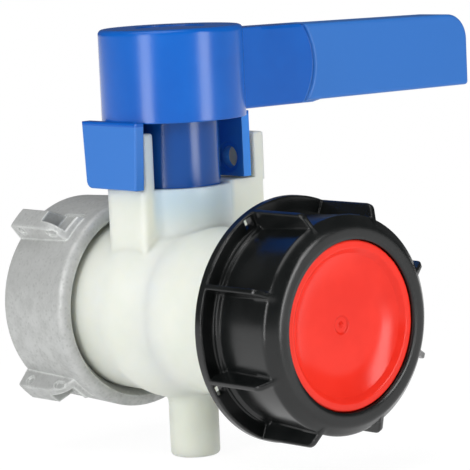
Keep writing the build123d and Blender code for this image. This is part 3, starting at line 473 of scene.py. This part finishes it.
# %% Black plastic
black, tree, shader, place, coat = moulded(
    "black_plastic", deep=(0.004, 0.005, 0.005), pale=(0.008, 0.009, 0.009), smooth=0.19, dull=0.28,
    grain=1700.0, clouds=60.0, height=0.006, edge=1.0,
)
shader.inputs["Specular IOR Level"].default_value = 0.50
parts = node(tree, "SeparateXYZ", [("Vector", place)])
x, y, z = (parts.outputs[axis] for axis in "XYZ")
barrel_radius = (34.2 * mm, 34.8 * mm)
shoulder_start = (ring_high.x - 10.5 * mm, ring_high.x - 8.5 * mm)
on_barrel = falling(tree, distance_off(tree, y, z), *barrel_radius)
round_wider(tree, product(tree, on_barrel, ramp(tree, x, *shoulder_start)), 2.4 * mm)
print("shoulder begins at x in mm:", round(shoulder_start[0] / mm, 1))

# %% [markdown]
# ## Red plastic of the insert
# The insert is a thin red disc from a smoother mould, so its grain is finer and its highlight
# narrower. A plain red would do from afar; the skin keeps it from looking like paint.

# %% Red plastic
red, tree, shader, place, coat = moulded(
    "red_plastic", deep=(0.76, 0.022, 0.010), pale=(0.83, 0.030, 0.015), smooth=0.17, dull=0.25,
    grain=1900.0, clouds=50.0, height=0.004, edge=0.5,
)
shader.inputs["Specular IOR Level"].default_value = 0.28

# %% [markdown]
# ## The cast skin
# The nut is die cast and lightly blasted: a grey metal with a fine pitted grain, darker hollows
# and slightly brighter high places. Two sizes of noise and a cell pattern make the relief.
# Handling has rubbed the edges smooth, and they are painted bright, partly for that wear and partly as
# a painted highlight along the edges: the mask for that compares the true normal with one rounded by
# the Bevel node, and the two differ only near an edge. Painting the edges by hand would have to be
# done again whenever the nut changes.

# %% Group: cast skin
cast, cast_in, cast_out = new_group(
    "cast_skin",
    [("Position", "vector", None), ("Grain per metre", "value", 900.0),
     ("Hollow", "colour", (0.4, 0.4, 0.4, 1)), ("Proud", "colour", (0.6, 0.6, 0.6, 1)),
     ("Rubbed and highlit", "colour", (0.8, 0.8, 0.8, 1))],
    [("Colour", "colour"), ("Roughness", "value"), ("Height", "value")],
)
lumps_per_metre = 210.0
pits_per_metre = 620.0
lump_share = 1.6
pit_share = 0.5
dull_hollow, less_dull_top = 0.62, 0.44
rubbed_gloss = 0.14
position = cast_in.outputs["Position"]
coarse = noise(cast, position, lumps_per_metre, detail=4.0, roughness=0.6)
fine = noise(cast, position, cast_in.outputs["Grain per metre"], detail=4.0, roughness=0.65)
cells = node(cast, "TexVoronoi", [("Vector", position)], Scale=pits_per_metre)
pits = product(cast, ramp(cast, cells.outputs["Distance"], 0.05, 0.40), pit_share)
relief_sum = calc(cast, "ADD", product(cast, coarse, lump_share), calc(cast, "ADD", fine, pits))
proud = ramp(cast, relief_sum, 1.15, 2.25)
cast_colour = mix_colour(cast, proud, cast_in.outputs["Hollow"], cast_in.outputs["Proud"])
print("node group:", cast.name, "relief made")

# %% Group: rubbed edges and painted edge highlight of the cast skin
worn = node(cast, "Bevel", Radius=1.3 * mm, samples=6)
true_normal = node(cast, "NewGeometry").outputs["Normal"]
facing = node(cast, "VectorMath", [(0, worn.outputs["Normal"]), (1, true_normal)], operation="DOT_PRODUCT")
patchy = ramp(cast, coarse, 0.30, 0.55, 0.5, 1.0)
# The edges are painted brighter: partly rubbed wear, partly a painted highlight.
rubbed_and_highlit = product(cast, falling(cast, facing.outputs["Value"], 0.90, 0.995), patchy)
worn_and_highlit_colour = mix_colour(cast, rubbed_and_highlit, cast_colour, cast_in.outputs["Rubbed and highlit"])
cast_rough = ramp(cast, proud, 0.0, 1.0, dull_hollow, less_dull_top)
worn_rough = calc(cast, "SUBTRACT", cast_rough, product(cast, rubbed_and_highlit, rubbed_gloss))
cast.links.new(worn_and_highlit_colour, cast_out.inputs["Colour"])
cast.links.new(worn_rough, cast_out.inputs["Roughness"])
cast.links.new(relief_sum, cast_out.inputs["Height"])
print("node group:", cast.name, "nodes:", len(cast.nodes))

# %% [markdown]
# ## Cast aluminium of the nut
# Blasted metal scatters light almost like paint. A full metal would turn black where the room is
# dark, so the shader is only partly metallic and rough, with the cast skin over it.

# %% Cast aluminium
aluminium, tree, shader, place, coat = coated("cast_aluminium", cast, edge=0.8, height=0.06, strength=0.8)
coat.inputs["Hollow"].default_value = (0.44, 0.45, 0.44, 1)
coat.inputs["Proud"].default_value = (0.55, 0.56, 0.55, 1)
# The edges' bright colour: partly rubbed wear, partly a painted highlight.
coat.inputs["Rubbed and highlit"].default_value = (0.82, 0.84, 0.82, 1)
shader.inputs["Metallic"].default_value = 0.3

# %% [markdown]
# ## Small and hidden pieces
# Seats, ball, rubber rings, screw and washer are seen only when the valve turns or opens. They
# could be left plain, but they use the same skin as the rest, with their own colours.

# %% Seats, ball, rubber and steel
seat = moulded("seat_plastic", (0.80, 0.80, 0.78), (0.86, 0.86, 0.84), smooth=0.36, dull=0.44,
               height=0.004)[0]
ball = moulded("ball_plastic", (0.74, 0.75, 0.72), (0.80, 0.81, 0.78), smooth=0.14, dull=0.22,
               height=0.002)[0]
rubber = moulded("black_rubber", (0.014, 0.014, 0.014), (0.022, 0.022, 0.022), smooth=0.62, dull=0.78,
                 grain=1400.0, height=0.02)[0]
grey = moulded("grey_rubber", (0.20, 0.20, 0.20), (0.26, 0.26, 0.26), smooth=0.58, dull=0.72,
               grain=1400.0, height=0.02)[0]
steel, tree, shader, place, coat = moulded(
    "spring_steel", (0.50, 0.50, 0.50), (0.58, 0.58, 0.57), smooth=0.28, dull=0.42,
    grain=2600.0, height=0.004,
)
shader.inputs["Metallic"].default_value = 1.0

# %% [markdown]
# ## Put the finishes on
# The record says which finish each solid has, so a loop over it is safer than a list typed again.
# The faces of the solids are left as they are; each solid gets one finish in its slot.

# %% Assign
finishes = {"natural_plastic": natural, "seat_plastic": seat, "ball_plastic": ball, "blue_plastic": blue,
            "black_plastic": black, "red_plastic": red, "cast_aluminium": aluminium,
            "spring_steel": steel, "black_rubber": rubber, "grey_rubber": grey}
for part in frame["record"]["subparts"]:
    solid = frame["nodes"][part["node"]]
    solid.data.materials.clear()
    solid.data.materials.append(finishes[part["material_slot"]])
for piece, finish in ((nut_thread, aluminium), (neck_thread, natural), (cap_thread, black)):
    piece.data.materials.append(finish)

# %% [markdown]
# ## Floor
# The valve stands on a plain pale floor. A curved backdrop is common, but a level floor that
# turns into plain white light further out shows the shadow near the foot and no horizon. That
# glow is only for the camera, for reflections and for what is seen through glass. All other light
# finds white paint, which throws it back on the underside of the valve.

# %% Floor's surface
floor_gap = 0.2 * mm
half_floor = 3.0
floor_z = shell_low.z - floor_gap
reach = np.array([(-1, -1), (1, -1), (1, 1), (-1, 1)]) * half_floor
corners = np.column_stack([reach, np.full(4, floor_z)])
floor_mesh = bpy.data.meshes.new("floor")
floor_mesh.from_pydata(corners.tolist(), [], [(0, 1, 2, 3)])
floor = bpy.data.objects.new("floor", floor_mesh)
bpy.context.scene.collection.objects.link(floor)
floor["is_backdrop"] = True
print("floor at z in mm:", round(floor_z / mm, 2))

# %% Floor's material
shadow_reach = (0.07, 0.30)
near_glow = 0.93
floor_material = bpy.data.materials.new("pale_floor")
floor_material.use_nodes = True
tree = floor_material.node_tree
tree.nodes.clear()
place = node(tree, "TexCoord").outputs["Object"]
centred = node(tree, "VectorMath", [(0, place)], operation="SUBTRACT")
centred.inputs[1].default_value = (stem_x, 0.0, floor_z)
distance = node(tree, "VectorMath", [(0, centred.outputs["Vector"])], operation="LENGTH").outputs["Value"]
paint = node(tree, "BsdfDiffuse", Color=(0.95, 0.95, 0.95, 1))
shadow_paint = node(tree, "BsdfDiffuse", Color=(0.12, 0.12, 0.12, 1))
glow = node(tree, "Emission", Color=(1, 1, 1, 1), Strength=near_glow)
white = node(tree, "Emission", Color=(1, 1, 1, 1), Strength=1.0)
near_look = node(tree, "AddShader", [(0, shadow_paint.outputs[0]), (1, glow.outputs[0])])
far = ramp(tree, distance, *shadow_reach)
seen = node(tree, "MixShader", [(0, far), (1, near_look.outputs[0]), (2, white.outputs[0])])
path = node(tree, "LightPath")
looked_at = calc(tree, "ADD", path.outputs["Is Camera Ray"], path.outputs["Is Glossy Ray"])
looked_at = calc(tree, "ADD", looked_at, path.outputs["Is Transmission Ray"], clamp=True)
choice = node(tree, "MixShader", [(0, looked_at), (1, paint.outputs[0]), (2, seen.outputs[0])])
node(tree, "OutputMaterial", [("Surface", choice.outputs[0])])
floor_mesh.materials.append(floor_material)
print("material:", floor_material.name)

# %% [markdown]
# ## Room
# A photograph for a catalogue is taken in a white tent or against white paper. The room is white
# for the camera, gives an even fill light from all sides, and is nearly dark in reflections, so
# that the glossy plastics mirror the soft boxes and not a fog. One plain white world would wash
# out the blue and the black.

# %% World
fill_light = 0.33
mirrored_room = 0.08
world = bpy.data.worlds.new("studio")
bpy.context.scene.world = world
world.use_nodes = True
tree = world.node_tree
tree.nodes.clear()
path = node(tree, "LightPath")
looked_at = calc(tree, "ADD", path.outputs["Is Camera Ray"], path.outputs["Is Transmission Ray"], clamp=True)
room = calc(tree, "ADD", product(tree, path.outputs["Is Glossy Ray"], mirrored_room - fill_light), fill_light)
strength = calc(tree, "MAXIMUM", looked_at, room)
sky = node(tree, "Background", [("Strength", strength)], Color=(1, 1, 1, 1))
node(tree, "OutputWorld", [("Surface", sky.outputs[0])])
print("fill light:", fill_light, "room in reflections:", mirrored_room)

# %% [markdown]
# ## Lamps
# Two upright soft boxes stand left and right of the camera, close to the valve and down to the
# floor, and draw the two broad upright highlights on the hub; a wide one hangs above. Small lamps
# would give hard spots; area lamps give highlights with soft edges. They stand close, so they are
# hidden from the camera itself.

# %% Soft boxes
view_yaw = np.radians(-40.6)
middle = Vector((stem_x + 10.0 * mm, 10.0 * mm, 20.0 * mm))


def soft_box(name, yaw_degrees, distance, height, width, tall, power, looks_down=False):
    """An area lamp at an angle from the camera's direction; upright, or looking at the valve."""
    yaw = view_yaw + np.radians(yaw_degrees)
    place = middle + Vector((distance * np.cos(yaw), distance * np.sin(yaw), height))
    aim = middle if looks_down else Vector((middle.x, middle.y, place.z))
    lamp = bpy.data.lights.new(name, "AREA")
    lamp.shape = "RECTANGLE"
    lamp.size = width
    lamp.size_y = tall
    lamp.energy = power
    holder = bpy.data.objects.new(name, lamp)
    holder.visible_camera = False
    holder.location = place
    holder.rotation_euler = (aim - place).to_track_quat("-Z", "Y").to_euler()
    bpy.context.scene.collection.objects.link(holder)
    print(name, "at", [round(v, 2) for v in place], power, "W")


soft_box("box_left", -42, distance=0.40, height=0.096, width=0.12, tall=0.32, power=0.82)
soft_box("box_right", 51, distance=0.40, height=0.096, width=0.13, tall=0.32, power=0.90)
soft_box("box_top", -50, distance=0.35, height=1.05, width=0.9, tall=0.9, power=4.9, looks_down=True)

# %% [markdown]
# ## Camera
# The photograph was taken from a little above, in front of the cap and to its left, with a long
# lens. The camera could be placed by eye, but its place, its three angles and its focal length
# come from a fit of the solids' outlines to the photograph, so that both pictures lie on each
# other. The focal length is given in pixels of the photograph's width.

# %% Camera
yaw, pitch, roll = np.radians((48.296, 6.890, -2.557))
camera_place = Vector((0.748643, -0.597166, 0.133427))
focal_pixels = 2845.691
photo_width = 470
forward = np.array((-np.sin(yaw) * np.cos(pitch), np.cos(yaw) * np.cos(pitch), -np.sin(pitch)))
level = np.cross(forward, (0, 0, 1))
level /= np.linalg.norm(level)
upright = np.cross(level, forward)
right = level * np.cos(roll) + upright * np.sin(roll)
up = upright * np.cos(roll) - level * np.sin(roll)
axes = Matrix((right, up, -forward)).transposed()
camera = bpy.data.cameras.new("camera")
camera.sensor_width = 36.0
camera.lens = focal_pixels / photo_width * camera.sensor_width
camera.clip_end = 20.0
holder = bpy.data.objects.new("camera", camera)
holder.matrix_world = Matrix.Translation(camera_place) @ axes.to_4x4()
bpy.context.scene.collection.objects.link(holder)
bpy.context.scene.camera = holder
bpy.context.scene.view_settings.view_transform = "Standard"
print("camera looks along", forward.round(4), "with a lens of", round(camera.lens, 1), "mm")

# %% [markdown]
# ## Sizes
# The boxes of the solids and of the dressed model are compared, and the largest difference is
# printed, so that a piece that sticks out of its solid shows up in numbers.

# %% Sizes
dressed_box = [list(corner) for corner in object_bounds()]
growth = np.abs(np.array(solid_box) - np.array(dressed_box)).max()
print("largest difference in mm:", round(float(growth) / mm, 3))
